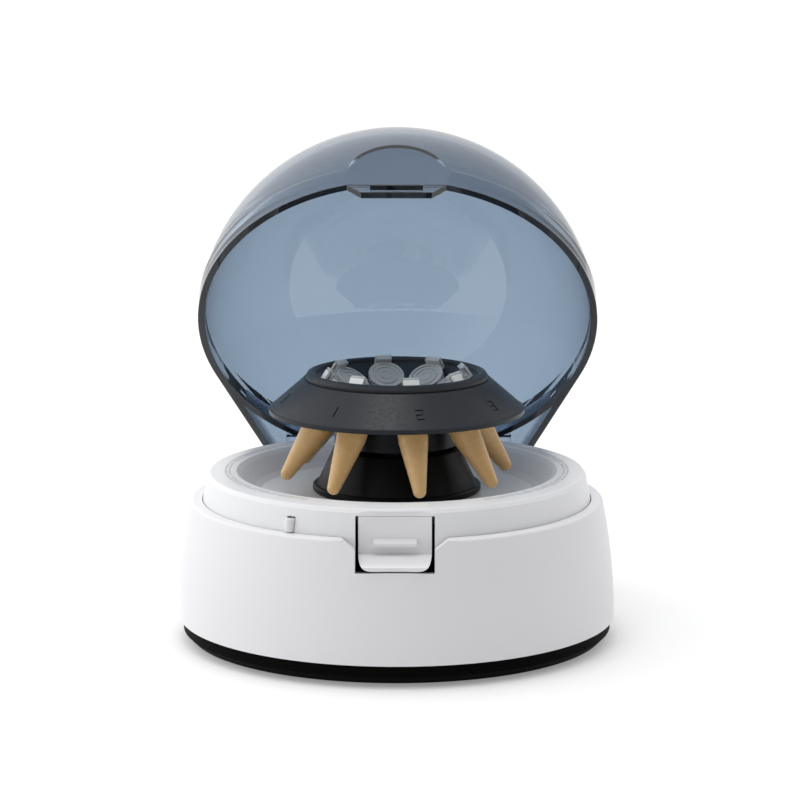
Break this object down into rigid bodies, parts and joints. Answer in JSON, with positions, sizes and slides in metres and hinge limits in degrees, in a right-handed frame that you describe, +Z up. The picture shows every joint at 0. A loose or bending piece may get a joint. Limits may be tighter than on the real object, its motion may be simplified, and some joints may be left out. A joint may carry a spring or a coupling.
{
  "type": "laboratory centrifuge",
  "caption": "Bench-top mini centrifuge: round white housing, hinged clear smoked dome lid, latch tab, and an angled black rotor that holds capped microtubes over a motor cone.",
  "frame": {"origin": "centre of the whole open machine's bounding box, on the bench plane under the feet", "axes": "+X to the right as seen from the front, +Y from the front latch to the rear hinge, +Z up along the spindle"},
  "size_m": [0.155, 0.1858, 0.1776],
  "materials": {
    "white_shell": "satin",
    "white_deck": "satin",
    "black_pan": "satin",
    "rubber": "matte",
    "steel": "satin",
    "cover_black": "gloss",
    "motor_steel": "zinc plated",
    "dark_plastic": "matte",
    "carbon": "matte",
    "ferrite": "matte",
    "bronze": "satin",
    "lead_insulation": "satin",
    "spring_steel": "satin",
    "board_green": "satin",
    "component_black": "matte",
    "copper": "enamelled",
    "aluminium": "turned",
    "rotor_black": "satin",
    "smoked_clear": "clear gloss",
    "tube_amber": "satin",
    "cap_clear": "clear satin",
    "rocker_black": "gloss"
  },
  "bodies": {
    "base": {"outer_housing": "white_shell", "chamber_deck": "white_deck", "base_pan": "black_pan", "rubber_feet": "rubber", "case_screws": "steel", "motor_cover": "cover_black", "cover_gasket": "rubber", "cover_screws": "steel", "motor_can": "motor_steel", "motor_end_cap": "dark_plastic", "motor_brushes": "carbon", "motor_magnets": "ferrite", "motor_bushes": "bronze", "motor_screws": "steel", "motor_leads": "lead_insulation", "hinge_pin": "steel", "lid_springs": "spring_steel", "microswitch": "dark_plastic", "control_board": "board_green", "board_components": "component_black", "board_screws": "steel", "power_socket": "dark_plastic", "power_socket_contact": "bronze", "power_socket_nut": "steel", "power_switch_body": "dark_plastic", "rocker_pivot": "steel"},
    "lid": {"lid_shell": "smoked_clear"},
    "spindle": {"motor_shaft": "steel", "armature_core": "motor_steel", "armature_windings": "copper", "commutator": "copper", "drive_hub": "aluminium", "hub_ring": "rubber"},
    "rotor": {"rotor": "rotor_black"},
    "latch": {"latch_tab": "white_shell"},
    "interlock": {"interlock_plunger": "white_shell"},
    "switch_lever": {"microswitch_lever": "spring_steel"},
    "rocker": {"power_rocker": "rocker_black"},
    "tube_1": {"tube_1": "tube_amber"},
    "cap_1": {"tube_cap_1": "cap_clear"},
    "tube_2": {"tube_2": "tube_amber"},
    "cap_2": {"tube_cap_2": "cap_clear"},
    "tube_3": {"tube_3": "tube_amber"},
    "cap_3": {"tube_cap_3": "cap_clear"},
    "tube_4": {"tube_4": "tube_amber"},
    "cap_4": {"tube_cap_4": "cap_clear"},
    "tube_5": {"tube_5": "tube_amber"},
    "cap_5": {"tube_cap_5": "cap_clear"},
    "tube_6": {"tube_6": "tube_amber"},
    "cap_6": {"tube_cap_6": "cap_clear"},
    "tube_7": {"tube_7": "tube_amber"},
    "cap_7": {"tube_cap_7": "cap_clear"},
    "tube_8": {"tube_8": "tube_amber"},
    "cap_8": {"tube_cap_8": "cap_clear"}
  },
  "joints": [
    {"name": "lid_hinge", "type": "hinge", "parent": "base", "child": "lid", "pos_m": [0, 0.05956, 0.0406], "axis": [1, 0, 0], "range_deg": [0, 52.5], "stiffness_Nm_per_rad": 0.075, "springref_deg": -34.95},
    {"name": "rotor_spin", "type": "hinge", "parent": "base", "child": "spindle", "pos_m": [0, -0.01544, 0.06], "axis": [0, 0, 1], "continuous": true},
    {"name": "rotor_lift", "type": "slide", "parent": "spindle", "child": "rotor", "axis": [0, 0, -1], "range_m": [-0.03, 0]},
    {"name": "latch_flex", "type": "hinge", "parent": "base", "child": "latch", "pos_m": [0, -0.08144, 0.0571], "axis": [1, 0, 0], "range_deg": [0, 5], "stiffness_Nm_per_rad": 0.3, "springref_deg": -1.15},
    {"name": "interlock_slide", "type": "slide", "parent": "base", "child": "interlock", "axis": [0.5195, 0.8545, 0], "range_m": [0, 0.0014]},
    {"name": "switch_lever_pivot", "type": "hinge", "parent": "base", "child": "switch_lever", "pos_m": [-0.03668, -0.06499, 0.046], "axis": [0, 0, 1], "range_deg": [0, 6.2]},
    {"name": "power_rocker_tilt", "type": "hinge", "parent": "base", "child": "rocker", "pos_m": [-0.022, 0.07056, 0.0215], "axis": [1, 0, 0], "range_deg": [0, 20]},
    {"name": "tube_1_slide", "type": "slide", "parent": "rotor", "child": "tube_1", "axis": [-0.1163, 0.547, 0.829], "range_m": [0, 0.016]},
    {"name": "cap_1_hinge", "type": "hinge", "parent": "tube_1", "child": "cap_1", "pos_m": [0.00499, -0.03892, 0.09648], "axis": [-0.9781, -0.2079, 0], "range_deg": [-100, 0]},
    {"name": "tube_2_slide", "type": "slide", "parent": "rotor", "child": "tube_2", "axis": [0.469, -0.3046, -0.829], "range_m": [-0.016, 0]},
    {"name": "cap_2_hinge", "type": "hinge", "parent": "tube_2", "child": "cap_2", "pos_m": [0.02013, -0.02851, 0.09648], "axis": [-0.5446, -0.8387, 0], "range_deg": [-100, 0]},
    {"name": "tube_3_slide", "type": "slide", "parent": "rotor", "child": "tube_3", "axis": [-0.547, -0.1163, 0.829], "range_m": [0, 0.016]},
    {"name": "cap_3_hinge", "type": "hinge", "parent": "tube_3", "child": "cap_3", "pos_m": [0.02348, -0.01045, 0.09648], "axis": [0.2079, -0.9781, 0], "range_deg": [-100, 0]},
    {"name": "tube_4_slide", "type": "slide", "parent": "rotor", "child": "tube_4", "axis": [0.3046, 0.469, -0.829], "range_m": [-0.016, 0]},
    {"name": "cap_4_hinge", "type": "hinge", "parent": "tube_4", "child": "cap_4", "pos_m": [0.01307, 0.00469, 0.09648], "axis": [0.8387, -0.5446, 0], "range_deg": [-100, 0]},
    {"name": "tube_5_slide", "type": "slide", "parent": "rotor", "child": "tube_5", "axis": [0.1163, -0.547, 0.829], "range_m": [0, 0.016]},
    {"name": "cap_5_hinge", "type": "hinge", "parent": "tube_5", "child": "cap_5", "pos_m": [-0.00499, 0.00804, 0.09648], "axis": [0.9781, 0.2079, 0], "range_deg": [-100, 0]},
    {"name": "tube_6_slide", "type": "slide", "parent": "rotor", "child": "tube_6", "axis": [-0.469, 0.3046, -0.829], "range_m": [-0.016, 0]},
    {"name": "cap_6_hinge", "type": "hinge", "parent": "tube_6", "child": "cap_6", "pos_m": [-0.02013, -0.00236, 0.09648], "axis": [0.5446, 0.8387, 0], "range_deg": [-100, 0]},
    {"name": "tube_7_slide", "type": "slide", "parent": "rotor", "child": "tube_7", "axis": [0.547, 0.1163, 0.829], "range_m": [0, 0.016]},
    {"name": "cap_7_hinge", "type": "hinge", "parent": "tube_7", "child": "cap_7", "pos_m": [-0.02348, -0.02043, 0.09648], "axis": [-0.2079, 0.9781, 0], "range_deg": [-100, 0]},
    {"name": "tube_8_slide", "type": "slide", "parent": "rotor", "child": "tube_8", "axis": [-0.3046, -0.469, -0.829], "range_m": [-0.016, 0]},
    {"name": "cap_8_hinge", "type": "hinge", "parent": "tube_8", "child": "cap_8", "pos_m": [-0.01307, -0.03557, 0.09648], "axis": [-0.8387, 0.5446, 0], "range_deg": [-100, 0]}
  ],
  "couplings": [
    {"joint": "interlock_slide", "follows": "lid_hinge", "m_per_rad": 0.0015279},
    {"joint": "switch_lever_pivot", "follows": "lid_hinge", "ratio": 0.11676}
  ]
}
